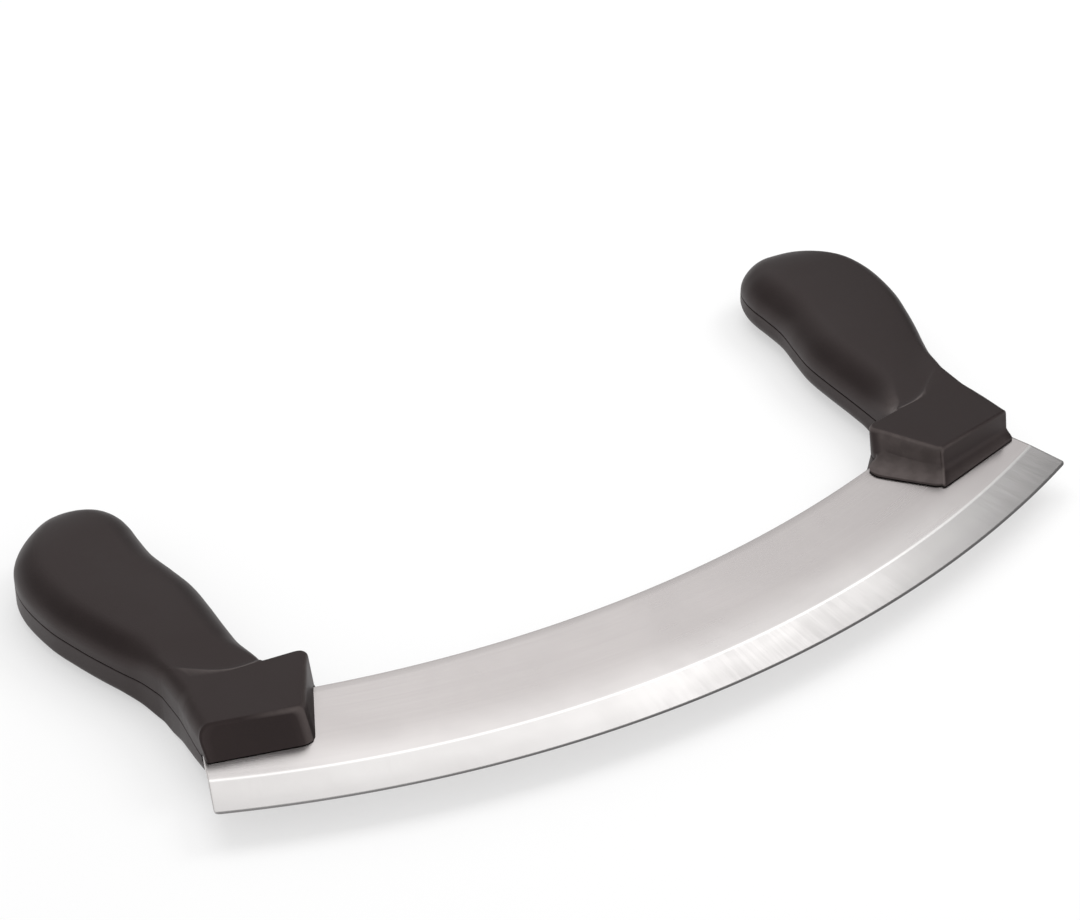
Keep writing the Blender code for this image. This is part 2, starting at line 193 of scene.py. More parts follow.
def plate(name, outline, half):
    """A flat plate of the given outline, with half its thickness on each side of the blade's level."""
    mesh = bpy.data.meshes.new(name)
    bm = bmesh.new()
    face = bm.faces.new([bm.verts.new((x, y, BLADE_LEVEL - half)) for x, y in outline])
    lifted = bmesh.ops.extrude_face_region(bm, geom=[face])["geom"]
    for item in lifted:
        if isinstance(item, bmesh.types.BMVert):
            item.co.z += 2 * half
    bmesh.ops.recalc_face_normals(bm, faces=bm.faces)
    bm.to_mesh(mesh)
    bm.free()
    return add_object(name, mesh)


def rod(name, centre, radius, length):
    """An upright round bar with its middle at the centre."""
    mesh = bpy.data.meshes.new(name)
    bm = bmesh.new()
    place = Matrix.Translation(centre)
    bmesh.ops.create_cone(
        bm, cap_ends=True, segments=ROD_SIDES, radius1=radius, radius2=radius, depth=length,
        matrix=place
    )
    bm.to_mesh(mesh)
    bm.free()
    return add_object(name, mesh)


def carve(piece, tool, operation="DIFFERENCE"):
    """Cuts the tool out of the piece, or joins it on, for good."""
    modifier = piece.modifiers.new("carve", "BOOLEAN")
    modifier.operation = operation
    modifier.object = tool
    bpy.context.view_layer.update()
    evaluated = piece.evaluated_get(bpy.context.evaluated_depsgraph_get())
    carved = bpy.data.meshes.new_from_object(evaluated)
    piece.modifiers.clear()
    piece.data = carved
    bpy.data.objects.remove(tool)


def pin_centre(name):
    low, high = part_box(name)
    return (low + high) / 2


def tang_outline(hand, grow=0.0):
    """Tang through both pins, from a root inside the blade to a round tip past the rear pin."""
    front = pin_centre(hand + "_front_pin").to_2d()
    rear = pin_centre(hand + "_rear_pin").to_2d()
    ahead = (rear - front).normalized()
    aside = Vector((ahead.y, -ahead.x))
    half = TANG_WIDTH / 2 + grow
    root = front + ahead * (spine_y(front.x) - TANG_ROOT_DEPTH - front.y)
    tip = rear + ahead * (TANG_PAST_PIN - TANG_WIDTH / 2)
    points = [root + aside * half]
    for i in range(TANG_TIP_STEPS + 1):
        turn = pi * i / TANG_TIP_STEPS
        points.append(tip + half * (cos(turn) * aside + sin(turn) * ahead))
    return points + [root - aside * half]


def blade_mesh():
    """Both faces of the plate, mapped by how far each point lies along and from the cutting edge."""
    lines = [blade_line(foot, top) for foot, top in blade_columns()]
    rows = len(lines[0])
    points = []
    places = []
    for face in (1, -1):
        for line in lines:
            for point, half in line:
                points.append((point.x, point.y, BLADE_LEVEL + face * half))
                offset = point - EDGE_CENTRE
                places.append((EDGE_RADIUS * asin(offset.x / offset.length), from_edge(point)))
    lower = len(lines) * rows
    faces = []
    for i in range(len(lines) - 1):
        for k in range(rows - 1):
            a = i * rows + k
            b = a + rows
            faces.append((a, b, b + 1, a + 1))
            faces.append((lower + a, lower + a + 1, lower + b + 1, lower + b))
    along = [i * rows for i in range(len(lines))]
    rim = along + [along[-1] + k for k in range(1, rows)]
    rim += [i + rows - 1 for i in reversed(along[:-1])] + list(range(rows - 2, 0, -1))
    for a, b in pairwise(rim + rim[:1]):
        faces.append((b, a, lower + a, lower + b))
    mesh = bpy.data.meshes.new("blade_plate")
    mesh.from_pydata(points, [], faces)
    map_layer = mesh.uv_layers.new(name="grinding")
    corners = np.array([loop.vertex_index for loop in mesh.loops])
    map_layer.data.foreach_set("uv", np.array(places, np.float32)[corners].ravel())
    return mesh


blade = add_object("ground_blade", blade_mesh())
for hand in ("left", "right"):
    tang = plate(hand + "_tang", tang_outline(hand), BLADE_HALF - TANG_SHY)
    carve(blade, tang, "UNION")
    for end in ("front", "rear"):
        pin = hand + "_" + end + "_pin"
        low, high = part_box(pin)
        hole = rod(pin + "_hole", pin_centre(pin), (high.x - low.x) / 2 + FIT_GAP, HOLE_LENGTH)
        carve(blade, hole)
blade.data.shade_smooth()
blade.data.set_sharp_from_angle(angle=SHARP_ANGLE)


def new_material(name):
    """A new material, with its node tree and its shader."""
    material = bpy.data.materials.new(name)
    material.use_nodes = True
    return material, material.node_tree, material.node_tree.nodes["Principled BSDF"]


def feed(tree, socket, value):
    """Links an input to an output, or sets it to a plain value."""
    if isinstance(value, bpy.types.NodeSocket):
        tree.links.new(value, socket)
    else:
        socket.default_value = value


def add_node(tree, kind, **values):
    """A shader node: a value goes to the socket of that name if there is one, else to the setting."""
    node = tree.nodes.new(kind)
    for name, value in values.items():
        socket = name.replace("_", " ")
        found = [s for s in node.inputs if s.name.lower() == socket and s.enabled]
        if name.startswith("input"):
            found = [node.inputs[int(name[5:])]]
        if found:
            feed(tree, found[0], value)
        else:
            setattr(node, name, value)
    return node


def math(tree, operation, *values):
    """Result of a sum on outputs or plain values."""
    node = tree.nodes.new("ShaderNodeMath")
    node.operation = operation
    for socket, value in zip(node.inputs, values):
        feed(tree, socket, value)
    return node.outputs[0]


def spread(tree, value, low, high, to_low=0.0, to_high=1.0):
    """Value taken from the range low to high, smoothly, to the range to_low to to_high."""
    node = add_node(tree, "ShaderNodeMapRange", interpolation_type="SMOOTHSTEP")
    for socket, item in zip(node.inputs, (value, low, high, to_low, to_high)):
        feed(tree, socket, item)
    return node.outputs[0]


def blend_colour(tree, share, first, second):
    """The first colour where the share is 0 and the second where it is 1."""
    node = tree.nodes.new("ShaderNodeMix")
    node.data_type = "RGBA"
    for name, item in (("Factor_Float", share), ("A_Color", first), ("B_Color", second)):
        feed(tree, next(s for s in node.inputs if s.identifier == name), item)
    return next(s for s in node.outputs if s.identifier == "Result_Color")


def tint(tree, colour, mask, strength, tinted):
    """Colour taken by the strength, from 0 to 1, towards another one where the mask is on."""
    return blend_colour(tree, math(tree, "MULTIPLY", mask, strength), colour, tinted)


def new_group(name, inputs, outputs):
    """A shader node group with named sockets; returns its tree and the nodes of its two ends."""
    group = bpy.data.node_groups.new(name, "ShaderNodeTree")
    for label, kind, value in inputs:
        socket = group.interface.new_socket(label, in_out="INPUT", socket_type="NodeSocket" + kind)
        if value is not None:
            socket.default_value = value
    for label, kind in outputs:
        group.interface.new_socket(label, in_out="OUTPUT", socket_type="NodeSocket" + kind)
    return group, group.nodes.new("NodeGroupInput"), group.nodes.new("NodeGroupOutput")


def place_group(tree, group, **values):
    """Puts a node group in a tree, with its inputs given by name, and returns its outputs."""
    node = tree.nodes.new("ShaderNodeGroup")
    node.node_tree = group
    for name, value in values.items():
        feed(tree, node.inputs[name.replace("_", " ")], value)
    return node.outputs


# The range that nearly all of a noise lies in, and the layers of ground lines: how wide the lines of
# each are beside the widest, as a share, and how much of the whole the layer makes up
NOISE_LOW = 0.3
NOISE_HIGH = 0.7
LINE_LAYERS = ((1.0, 0.5), (0.31, 0.3), (0.09, 0.2))
LINE_SLICE = 7.3


def make_grinding_lines():
    """Fine lines that a belt leaves: long in the first direction of Place, close in the second."""
    group, start, end = new_group(
        "grinding_lines",
        [("Place", "Vector", None), ("Long", "Float", 20.0), ("Close", "Float", 4000.0)],
        [("Lines", "Float")],
    )
    parts = add_node(group, "ShaderNodeSeparateXYZ", vector=start.outputs["Place"])
    long_way = math(group, "MULTIPLY", parts.outputs["X"], start.outputs["Long"])
    close_way = math(group, "MULTIPLY", parts.outputs["Y"], start.outputs["Close"])
    total = None
    for size, share in LINE_LAYERS:
        stretched = add_node(
            group, "ShaderNodeCombineXYZ", x=math(group, "MULTIPLY", long_way, size),
            y=math(group, "MULTIPLY", close_way, size), z=LINE_SLICE * size
        )
        noise = add_node(
            group, "ShaderNodeTexNoise", vector=stretched.outputs[0], scale=1.0, detail=2.0
        )
        layer = math(group, "MULTIPLY", noise.outputs[0], share)
        total = layer if total is None else math(group, "ADD", total, layer)
    group.links.new(spread(group, total, NOISE_LOW, NOISE_HIGH), end.inputs["Lines"])
    return group


def make_smudges():
    """Faint cloudy patches that handling leaves, between 0 and 1."""
    group, start, end = new_group(
        "handling_smudges",
        [("Place", "Vector", None), ("Patch Size", "Float", 0.02)],
        [("Patches", "Float")],
    )
    scale = math(group, "DIVIDE", 1.0, start.outputs["Patch Size"])
    noise = add_node(
        group, "ShaderNodeTexNoise", vector=start.outputs["Place"], scale=scale, detail=3.0,
        roughness=0.6, distortion=0.4
    )
    group.links.new(spread(group, noise.outputs[0], NOISE_LOW, NOISE_HIGH), end.inputs["Patches"])
    return group


GRINDING_LINES = make_grinding_lines()
SMUDGES = make_smudges()

# Where each ground surface of the blade goes over into the next, by distance from the cutting edge
CUTTING_BEVEL_END = (CUTTING_BEVEL_WIDTH - 0.0002, CUTTING_BEVEL_WIDTH + 0.0001)
BEVEL_END = (BEVEL_WIDTH - 0.0006, BEVEL_WIDTH + 0.0004)
BEVEL_FADE = (CUTTING_BEVEL_WIDTH, BEVEL_WIDTH - 0.004)
# Where the painted reflection on the flat fades out behind the ridge
REFLECTION_FADE = (BEVEL_WIDTH, BEVEL_WIDTH + 0.016)
# Line and width of the painted highlight along the ridge
RIDGE_LINE = BEVEL_WIDTH - 0.0002
RIDGE_LINE_FADE = (0.0001, 0.0009)

# Where the painted reflection on the flat fades towards the right end, which it leaves in painted shade,
# by distance from the middle, and what is left of it
REFLECTION_LENGTH = (0.1, 0.145)
REFLECTION_LEFT_OVER = 0.2

SATIN_DARK = (0.565, 0.530, 0.524, 1)
SATIN_PALE = (0.605, 0.570, 0.562, 1)
PAINTED_REFLECTION_COLOUR = (0.755, 0.725, 0.716, 1)
BEVEL_DARK = (0.690, 0.672, 0.665, 1)
BEVEL_PALE = (0.725, 0.708, 0.700, 1)
NEAR_EDGE_COLOUR = (0.600, 0.585, 0.580, 1)
HANDLED_COLOUR = (0.520, 0.490, 0.486, 1)
PAINTED_RIDGE_HIGHLIGHT = (0.86, 0.85, 0.84, 1)
CUTTING_EDGE_COLOUR = (0.40, 0.39, 0.39, 1)
STEEL_ROUGHNESS = 0.20


def blade_steel():
    """Satin steel, with a painted reflection that makes the flat paler near the ridge and leaves the
    right end in painted shade, and a painted highlight along the ridge.
    """
    material, tree, shader = new_material("satin_blade_steel")
    grinding = add_node(tree, "ShaderNodeUVMap", uv_map="grinding").outputs[0]
    parts = add_node(tree, "ShaderNodeSeparateXYZ", vector=grinding)
    along, depth = parts.outputs["X"], parts.outputs["Y"]
    turned = add_node(tree, "ShaderNodeCombineXYZ", x=depth, y=along).outputs[0]
    place = add_node(tree, "ShaderNodeTexCoord").outputs["Object"]

    satin = place_group(tree, GRINDING_LINES, Place=grinding, Long=22.0, Close=2600.0)["Lines"]
    cross = place_group(tree, GRINDING_LINES, Place=turned, Long=90.0, Close=1800.0)["Lines"]
    patches = place_group(tree, SMUDGES, Place=place, Patch_Size=0.035)["Patches"]

    on_bevel = spread(tree, depth, *BEVEL_END, 1.0, 0.0)
    on_edge = spread(tree, depth, *CUTTING_BEVEL_END, 1.0, 0.0)
    painted_reflection = spread(tree, depth, *REFLECTION_FADE, 1.0, 0.0)
    reflection_before_end = spread(tree, along, *REFLECTION_LENGTH, 1.0, REFLECTION_LEFT_OVER)
    painted_reflection = math(tree, "MULTIPLY", painted_reflection, reflection_before_end)
    towards_edge = spread(tree, depth, *BEVEL_FADE, 1.0, 0.0)
    from_ridge = math(tree, "ABSOLUTE", math(tree, "SUBTRACT", depth, RIDGE_LINE))
    on_ridge = spread(tree, from_ridge, *RIDGE_LINE_FADE, 1.0, 0.0)
    satin_share = math(tree, "MULTIPLY", satin, math(tree, "SUBTRACT", 1.0, on_bevel))
    cross_share = math(tree, "MULTIPLY", cross, on_bevel)
    lines = math(tree, "ADD", satin_share, cross_share)

    flat = blend_colour(tree, satin, SATIN_DARK, SATIN_PALE)
    # Painted reflection: the flat is paler near the ridge and less so at the right end
    flat = tint(tree, flat, painted_reflection, 0.9, PAINTED_REFLECTION_COLOUR)
    bevel = blend_colour(tree, cross, BEVEL_DARK, BEVEL_PALE)
    bevel = tint(tree, bevel, towards_edge, 0.6, NEAR_EDGE_COLOUR)
    colour = blend_colour(tree, on_bevel, flat, bevel)
    colour = tint(tree, colour, patches, 0.15, HANDLED_COLOUR)
    # Painted highlight along the ridge
    colour = tint(tree, colour, on_ridge, 0.7, PAINTED_RIDGE_HIGHLIGHT)
    colour = tint(tree, colour, on_edge, 0.8, CUTTING_EDGE_COLOUR)
    tree.links.new(colour, shader.inputs["Base Color"])

    rough = math(tree, "ADD", math(tree, "MULTIPLY", lines, 0.05), STEEL_ROUGHNESS)
    rough = math(tree, "ADD", rough, math(tree, "MULTIPLY", patches, 0.04))
    polished = math(tree, "MAXIMUM", math(tree, "MULTIPLY", on_bevel, 0.4), on_ridge)
    rough = math(tree, "SUBTRACT", rough, math(tree, "MULTIPLY", polished, 0.08))
    tree.links.new(rough, shader.inputs["Roughness"])
    shader.inputs["Metallic"].default_value = 1.0
    shader.inputs["Anisotropic"].default_value = 0.35
    tangent = add_node(tree, "ShaderNodeTangent", direction_type="UV_MAP", uv_map="grinding")
    tree.links.new(tangent.outputs[0], shader.inputs["Tangent"])
    bump = add_node(tree, "ShaderNodeBump", strength=0.05, distance=0.00003, height=lines)
    tree.links.new(bump.outputs[0], shader.inputs["Normal"])
    return material


blade.data.materials.clear()
blade.data.materials.append(blade_steel())
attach(blade, "root")
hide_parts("blade")

# Handle halves: each handle is two glass-filled nylon mouldings, closed over the tang and welded along
# the seam at blade level. A bolster block with a guard towards the food straddles the blade, and the
# grip behind it swells to a round butt. The mould is spark-eroded, so the plastic has a fine dull grain.

CORNER_SETBACK = 0.0212
HALF_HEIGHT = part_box("left_handle_upper")[1].z - BLADE_LEVEL
MM = 0.001

# Block: how its edges and corners are rounded, and how far its outer wall leans beside the inner one.
# One face of the moulding has a lip and the other is plain, so some values come in pairs.
BOLSTER_ROUND = 1.4 * MM
BOLSTER_OUTER_PLAIN = 5 * MM
LOWER_CORNER_ROUND = 9.5 * MM
FRONT_ROUND = 1.1 * MM
FRONT_CORNER_LIPPED = 0.9 * MM
FRONT_CORNER_PLAIN = 3.6 * MM
GUARD_ROUND = 2.2 * MM
OUTER_LEAN_LIPPED = 0.7
OUTER_LEAN_PLAIN = 1.2

# Lip at the foot of the block's inner wall, and the ledge that it makes on the front face
LIP_THICKNESS = 0.9 * MM
LIP_FILLET = 1.8 * MM
FRONT_LEDGE = 0.62
LEDGE_LENGTH = 12 * MM
# Painted light on the front ledge, as a share of that on the lip, and the lip's reach at which the inner
# wall and lip take their full painted light
FRONT_LEDGE_LIGHT = 0.4
FULLY_LIT_LIP = 4 * MM

# Crease behind the block, and the grip: its roundings, how far behind the crease each is reached, and
# the crown of its top
CREASE_STEP = 0.8 * MM
CREASE_FADE = 20 * MM
GRIP_INNER_LIPPED = 8.5 * MM
GRIP_OUTER_LIPPED = 3.3 * MM
GRIP_INNER_PLAIN = 6.3 * MM
GRIP_OUTER_PLAIN = 7 * MM
GRIP_ROUND_SPREAD = 1.45
GRIP_BLEND = 25 * MM
GRIP_BLEND_INNER = 16 * MM
GRIP_BLEND_CREASE = 4 * MM
GRIP_CROWN = 1 * MM

# Butt, and the small rounding all along the seam
BUTT_ROUND = 21 * MM
BUTT_FULLNESS = 2.4
BUTT_END_HEIGHT = 2.2 * MM
BUTT_BULGE = 0.45 * MM
SEAM_ROUND = 0.25 * MM

# Largest share of a wall that the rounding of its top takes, and of a side that one corner takes
ROUND_LIMIT = 0.9
SOFTEN_LIMIT = 0.45

# Steps of the mesh: round the front edge, down the bolster's long side, round its corners in plan, from
# crease to grip, along each stretch of the grip, and over the butt, each ring there as a share of the
# last full one; then up a wall, round its foot and its top corner, and across the top
FRONT_STEPS = 5
LONG_SIDE_SHARES = (0.15, 0.3, 0.45, 0.6, 0.75, 0.9)
CORNER_POINTS = 6
CREASE_SHARES = (0.25, 0.5, 0.75)
GRIP_STEPS = 7
BUTT_RINGS = (0.9, 0.75, 0.5, 0.25, 0.02)
WALL_SHARES = (0.08, 0.14, 0.2, 0.25, 0.28, 0.32, 0.36, 0.42, 0.5, 0.62, 0.8)
FOOT_STEPS = 3
TOP_CORNER_STEPS = 10
ACROSS = 12

# How much painted highlight a half takes where it has the lip and where it hasn't: along the top of its
# inner and its outer wall, round the front face at the wall and on top, and painted light up the inner
# wall and on the lip
HIGHLIGHT_LIPPED = {
    "inner": 1.0, "outer": 0.2, "front_wall": 1.0, "front_top": 0.3, "wall": 0.75, "lip": 0.75
}
HIGHLIGHT_PLAIN = {
    "inner": 0.35, "outer": 0.1, "front_wall": 0.6, "front_top": 0.9, "wall": 0.0, "lip": 0.0
}

# How fast the painted highlight fades across the top of the block, behind its front edge and along the
# crease
FRONT_LIGHT_FALL = 1.5
CREASE_LIGHT_HOLD = 0.35
CREASE_LIGHT_FALL_LIPPED = 4
CREASE_LIGHT_FALL_PLAIN = 0.7

# Bolster in plan, from front face to crease, in millimetres from where the handle starts on the right
# end cut: inner x, y and outer x, y at the blade, the reach of the lip at the inner wall's foot, the
# lean of that wall's top. The corners were read off the photograph and then moved.
BOLSTER_PLAN = (
    (-33.6, -10.9, -0.5, -3.0, 4.0, 7.1),
    (-42.4, 6.3, -1.6, 9.0, 11.5, 4.8),
    (-44.4, 10.2, -1.9, 11.4, 9.0, 4.4),
    (-45.9, 13.0, -2.2, 13.6, 0.8, 4.0),
    (-47.2, 15.4, -2.4, 15.6, 0.0, 3.4),
    (-46.3, 18.8, -2.9, 19.4, 0.0, 1.8),
    (-33.6, 22.2, -3.3, 23.4, 0.0, 0.0),
    (-33.4, 22.8, -3.4, 34.7, 0.0, 0.0),
)

# Grip in plan, from crease to butt: inner x, y and outer x, y from the same point. These rows are what
# another program made of the handles' outlines, by a fit.
GRIP_PLAN = (
    (-33.2, 24.4, -3.1, 36.5),
    (-33.3, 36.4, -0.9, 44.6),
    (-33.7, 47.9, 2.5, 52.6),
    (-34.3, 60.0, 6.6, 63.0),
    (-34.4, 71.5, 9.8, 72.5),
    (-32.7, 82.0, 12.5, 82.0),
    (-30.6, 92.9, 14.0, 92.9),
    (-30.5, 102.9, 14.0, 101.8),
    (-30.8, 110.5, 12.4, 109.5),
    (-30.1, 117.0, 9.4, 115.3),
    (-27.7, 123.0, 4.8, 120.9),
    (-23.1, 127.3, -0.4, 125.6),
    (-17.0, 129.9, -6.0, 129.1),
)


def handle_corner():
    """Where the right handle starts on the right end cut, from which its plan is measured."""
    y = edge_point(TIP_ANGLE).y + CORNER_SETBACK
    return Vector((end_x(y), y))


def smooth_step(t):
    """Rises from 0 to 1 as t does, level at both ends."""
    t = min(1.0, max(0.0, t))
    return t * t * (3 - 2 * t)


def station(row, lip=0.0, lean=0.0, **changes):
    """All that shapes one section of a handle half, from its two ends in plan."""
    inner = Vector(row[:2]) * MM
    outer = Vector(row[2:4]) * MM
    middle_y = (inner.y + outer.y) / 2
    crease_y = (BOLSTER_PLAN[-1][1] + BOLSTER_PLAN[-1][3]) / 2 * MM
    into_butt = min(1.0, max(0.0, (middle_y - GRIP_PLAN[-1][1] * MM + BUTT_ROUND) / BUTT_ROUND))
    fullness = (1 - into_butt ** BUTT_FULLNESS) ** (1 / BUTT_FULLNESS)
    blend = smooth_step((middle_y - crease_y) / GRIP_BLEND)
    inner_blend = smooth_step((middle_y - crease_y) / GRIP_BLEND_INNER)
    quick_blend = (inner_blend + smooth_step((middle_y - crease_y) / GRIP_BLEND_CREASE)) / 2
    from_front = max(0.0, min(1.0, outer.y / (BOLSTER_PLAN[-1][3] * MM)))
    values = {
        "inner": inner,
        "outer": outer,
        "height": BUTT_END_HEIGHT + (HALF_HEIGHT - BUTT_END_HEIGHT) * fullness,
        "inner_lipped": BOLSTER_ROUND + (GRIP_INNER_LIPPED - BOLSTER_ROUND) * quick_blend,
        "inner_plain": BOLSTER_ROUND + (GRIP_INNER_PLAIN - BOLSTER_ROUND) * inner_blend,
        "outer_lipped": BOLSTER_ROUND + (GRIP_OUTER_LIPPED - BOLSTER_ROUND) * blend,
        "outer_plain": BOLSTER_OUTER_PLAIN + (GRIP_OUTER_PLAIN - BOLSTER_OUTER_PLAIN) * blend,
        "lower_corner": LOWER_CORNER_ROUND * (1 - from_front),
        "inner_spread": 1 + (GRIP_ROUND_SPREAD - 1) * inner_blend,
        "outer_spread": 1 + (GRIP_ROUND_SPREAD - 1) * blend,
        "crown": GRIP_CROWN * blend * fullness,
        "lip": lip * MM,
        "lean": lean * MM,
        "bow": 0.0,
        "dip": 0.0,
        "ledge": FRONT_LEDGE * max(0.0, 1 - (outer.y - BOLSTER_PLAN[0][3] * MM) / LEDGE_LENGTH),
        "inset": 0.0,
        "inner_highlight": (1 - inner_blend) ** 2,
        "outer_highlight": (1 - blend) ** 4,
        "front": 0.0,
        "crease": 0.0,
    }
    values.update(changes)
    return values


def soften(rows, reach):
    """Rows of the bolster's plan with each inner corner rounded over reach metres either way."""
    rows = [np.array(row) for row in rows]
    done = [rows[0]]
    for before, row, after in zip(rows, rows[1:], rows[2:]):
        back = min(SOFTEN_LIMIT, reach / MM / np.linalg.norm((row - before)[:2]))
        ahead = min(SOFTEN_LIMIT, reach / MM / np.linalg.norm((after - row)[:2]))
        start, end = row + (before - row) * back, row + (after - row) * ahead
        for t in np.linspace(0, 1, CORNER_POINTS):
            done.append((1 - t) ** 2 * start + 2 * t * (1 - t) * row + t * t * end)
    return done + [rows[-1]]


def curve_point(before, start, end, after, t):
    """Row at share t of the way from start to end, on the smooth curve through all four."""
    a, b, c, d = (np.array(row) for row in (before, start, end, after))
    return b + 0.5 * t * (c - a + t * (2 * a - 5 * b + 4 * c - d + t * (3 * (b - c) + d - a)))


def handle_stations():
    """All sections of a half, from the bolster's front face to the butt."""
    rows = soften(BOLSTER_PLAN, GUARD_ROUND)
    front = station(rows[0][:4], rows[0][4], rows[0][5])
    stations = []
    for i in range(FRONT_STEPS + 1):
        turn = pi / 2 * i / FRONT_STEPS
        inset = FRONT_ROUND * (1 - sin(turn))
        setback = Vector((0.0, FRONT_ROUND * (1 - cos(turn))))
        stations.append(dict(
            front, inner=front["inner"] + setback, outer=front["outer"] + setback - Vector((inset, 0)),
            height=front["height"] - inset, inset=1 - sin(turn), front=sin(2 * turn),
            inner_highlight=sin(turn), outer_highlight=sin(turn)
        ))
    long_side = [rows[0] + (rows[1] - rows[0]) * share for share in LONG_SIDE_SHARES]
    crease = rows[-1]
    notch_y = BOLSTER_PLAN[-2][3]
    full_bow = (crease[3] - crease[1]) * MM
    for row in long_side + rows[1:-1]:
        bow = full_bow * smooth_step((row[3] - notch_y) / (crease[3] - notch_y))
        stations.append(station(row[:4], row[4], row[5], bow=bow))
    stations.append(station(crease[:4], bow=full_bow, crease=1.0))
    padded = [GRIP_PLAN[0], *GRIP_PLAN, GRIP_PLAN[-1]]
    grip = []
    for i in range(len(GRIP_PLAN) - 1):
        for k in range(GRIP_STEPS):
            grip.append(curve_point(*padded[i:i + 4], k / GRIP_STEPS))
    grip.append(np.array(GRIP_PLAN[-1]))
    for share in CREASE_SHARES:
        row = crease[:4] + (grip[0] - crease[:4]) * share
        dip = CREASE_STEP * smooth_step(share)
        stations.append(station(row, bow=full_bow, dip=dip, crease=max(0.0, 1 - 2 * share)))
    for row in grip:
        past = ((row[1] + row[3]) - (grip[0][1] + grip[0][3])) / 2 * MM
        fade = 1 - smooth_step(past / CREASE_FADE)
        stations.append(station(row, bow=full_bow * fade, dip=CREASE_STEP * fade))
    return stations


def wall_profile(top_round, spread_share, top, floor, width):
    """One wall from the seam to the top, with its rounded corner: distance in, z and corner share."""
    top_round = min(top_round, ROUND_LIMIT * min(top - floor, width / 2 / spread_share))
    wall_top = top - top_round
    foot = floor + SEAM_ROUND
    points = []
    for i in range(FOOT_STEPS + 1):
        turn = pi / 2 * i / FOOT_STEPS
        points.append((SEAM_ROUND * (1 - sin(turn)), foot - SEAM_ROUND * cos(turn), 0.0))
    for share in WALL_SHARES:
        points.append((0.0, foot + (wall_top - foot) * share, 0.0))
    for i in range(TOP_CORNER_STEPS + 1):
        turn = pi / 2 * i / TOP_CORNER_STEPS
        points.append((
            spread_share * top_round * (1 - cos(turn)), wall_top + top_round * sin(turn), sin(2 * turn)
        ))
    return points


def lip_share(z):
    """Share of its full reach that the lip at the inner wall's foot has at height z."""
    above_lip = z - BLADE_HALF - FIT_GAP - LIP_THICKNESS
    return max(0.0, 1 - max(0.0, above_lip) / LIP_FILLET) ** 2


def place_point(item, side, face, inner, across, width, u, z):
    """Where the point of a half's skin lies that is u across the section and z off the seam."""
    floor = FIT_GAP / 2
    lipped = side * face > 0
    top = item["height"] - item["crown"]
    share = u / width
    rise = (z - floor) / (top - floor)
    back = rise
    point = inner + across * u
    if lipped:
        point -= across * item["lip"] * lip_share(z) * (1 - share)
        back = rise + item["ledge"] * (1 - lip_share(z) - rise)
    outer_lean = OUTER_LEAN_LIPPED if lipped else OUTER_LEAN_PLAIN
    lean = item["lean"] * (1 - share * (1 - outer_lean))
    y = point.y + lean * back - item["bow"] * (share - smooth_step(share) ** 2)
    z += (item["crown"] * 4 * share * (1 - share) - item["dip"] * (1 - share)) * rise
    corner = handle_corner()
    return side * (corner.x + point.x), corner.y + y, BLADE_LEVEL + face * z


def half_section(item, side, face):
    """Ring of one half at a station, with the painted highlight and painted light it takes at each
    point: up the inner wall, over the top and down the outer wall.

    One moulding serves both ends, turned over, so only two of the four halves have the lip: the right
    handle's upper one and the left handle's lower one.
    """
    lipped = side * face > 0
    corner_round = FRONT_CORNER_LIPPED if lipped else FRONT_CORNER_PLAIN
    inner, outer = item["inner"] + Vector((corner_round * item["inset"], 0.0)), item["outer"]
    across = (outer - inner).normalized()
    width = (outer - inner).length
    top = item["height"] - item["crown"]
    floor = FIT_GAP / 2
    kind = "lipped" if lipped else "plain"
    inner_wall = wall_profile(item["inner_" + kind], item["inner_spread"], top, floor, width)
    outer_round = item["outer_" + kind]
    if face < 0:
        outer_round = max(outer_round, item["lower_corner"])
    outer_wall = wall_profile(outer_round, item["outer_spread"], top, floor, width)
    first, last = inner_wall[-1][0], width - outer_wall[-1][0]
    light_shares = HIGHLIGHT_LIPPED if lipped else HIGHLIGHT_PLAIN
    profile = []
    for u, z, edge in inner_wall:
        on_wall = max(0.0, 1 - u / first)
        front = item["front"] * (light_shares["front_wall"] * on_wall + light_shares["front_top"] * (1 - on_wall))
        wall_light = light_shares["wall"] + (light_shares["lip"] - light_shares["wall"]) * lip_share(z)
        wall_light *= on_wall * min(1.0, item["lip"] / FULLY_LIT_LIP)
        highlighted = item["inner_highlight"] * max(edge * light_shares["inner"], wall_light)
        profile.append((u, z, max(highlighted, front)))
    for i in range(1, ACROSS):
        share = i / ACROSS
        front = item["front"] * light_shares["front_top"] * max(0.0, 1 - FRONT_LIGHT_FALL * share)
        if lipped:
            kept = 1 - smooth_step((share - CREASE_LIGHT_HOLD) * CREASE_LIGHT_FALL_LIPPED)
        else:
            kept = 1 - CREASE_LIGHT_FALL_PLAIN * share
        profile.append((first + (last - first) * share, top, max(front, item["crease"] * kept)))
    for u, z, edge in reversed(outer_wall):
        profile.append((width - u, z, edge * item["outer_highlight"] * light_shares["outer"]))
    ring = [place_point(item, side, face, inner, across, width, u, z) for u, z, _ in profile]
    return ring, [highlighted for _, _, highlighted in profile], (inner, across, width, profile)


def front_cap(item, side, face, plan):
    """Points inside the front ring, row by row from the seam to the top."""
    inner, across, width, profile = plan
    rows = []
    for k in range(1, (len(profile) - ACROSS - 1) // 2):
        (u0, z0, _), (u1, z1, _) = profile[k], profile[-1 - k]
        row = []
        for i in range(1, ACROSS):
            share = i / ACROSS
            row.append(place_point(
                item, side, face, inner, across, width, u0 + (u1 - u0) * share, z0 + (z1 - z0) * share
            ))
        rows.append(row)
    return rows


